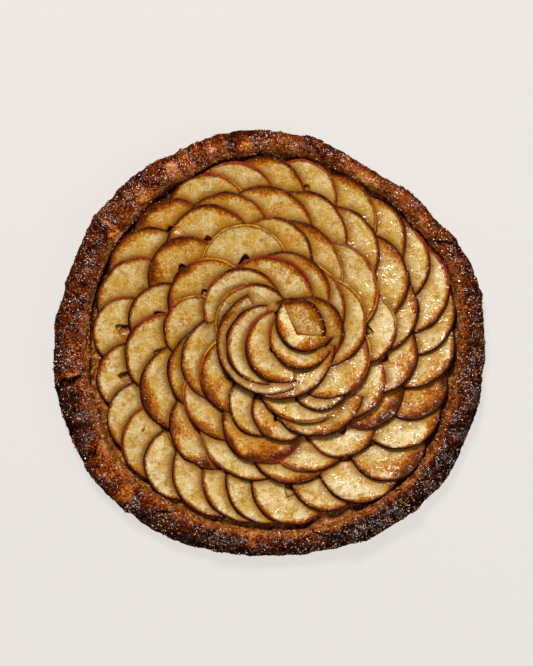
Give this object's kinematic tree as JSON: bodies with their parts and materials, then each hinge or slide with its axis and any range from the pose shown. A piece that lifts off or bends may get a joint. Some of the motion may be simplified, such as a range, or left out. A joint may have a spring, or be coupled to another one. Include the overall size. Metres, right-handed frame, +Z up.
{
  "type": "apple galette",
  "caption": "Round open-faced apple galette: a thick folded pastry rim around thin half-moon apple slices that overlap in rings and close into a spiral rose.",
  "frame": {"origin": "middle of the galette's bounding box, on the plane that it rests on", "axes": "+Z up out of the apples; +X towards the side of the rim that the rose's centre is nearest to, +Y a quarter turn counter-clockwise of +X seen from above; the rose's centre lies about 22 mm towards +X and 9 mm towards +Y"},
  "size_m": [0.31, 0.3072, 0.0258],
  "materials": {
    "crust": "baked pastry, brown to black-brown, coarse sugar and a thin syrup glaze",
    "apple": "baked apple flesh with toasted edges and a thin dark skin, glazed"
  },
  "bodies": {
    "root": {"crust": "crust", "outer_slices_1": "apple", "outer_slices_2": "apple", "outer_slices_3": "apple", "outer_slices_4": "apple", "outer_slices_5": "apple", "outer_slices_6": "apple", "outer_slices_7": "apple", "middle_slice_1": "apple", "middle_slice_2": "apple", "middle_slice_3": "apple", "middle_slice_4": "apple", "middle_slice_5": "apple", "middle_slice_6": "apple", "middle_slice_7": "apple", "middle_slice_8": "apple", "middle_slice_9": "apple", "middle_slice_10": "apple", "middle_slice_11": "apple", "middle_slice_12": "apple", "middle_slice_13": "apple", "middle_slice_14": "apple", "middle_slice_15": "apple", "middle_slice_16": "apple", "middle_slice_17": "apple", "middle_slice_18": "apple", "inner_slice_1": "apple", "inner_slice_2": "apple", "inner_slice_3": "apple", "inner_slice_4": "apple", "inner_slice_5": "apple", "inner_slice_6": "apple", "inner_slice_7": "apple", "inner_slice_8": "apple", "inner_slice_9": "apple", "inner_slice_10": "apple", "inner_slice_11": "apple", "petal_1": "apple", "petal_2": "apple", "petal_3": "apple", "petal_4": "apple", "petal_5": "apple", "petal_6": "apple", "petal_7": "apple", "petal_8": "apple", "petal_9": "apple", "petal_10": "apple", "petal_11": "apple", "petal_12": "apple", "petal_13": "apple", "petal_14": "apple", "petal_15": "apple", "petal_16": "apple", "petal_17": "apple", "petal_18": "apple", "petal_19": "apple", "petal_20": "apple", "petal_21": "apple", "petal_22": "apple"}
  },
  "joints": []
}
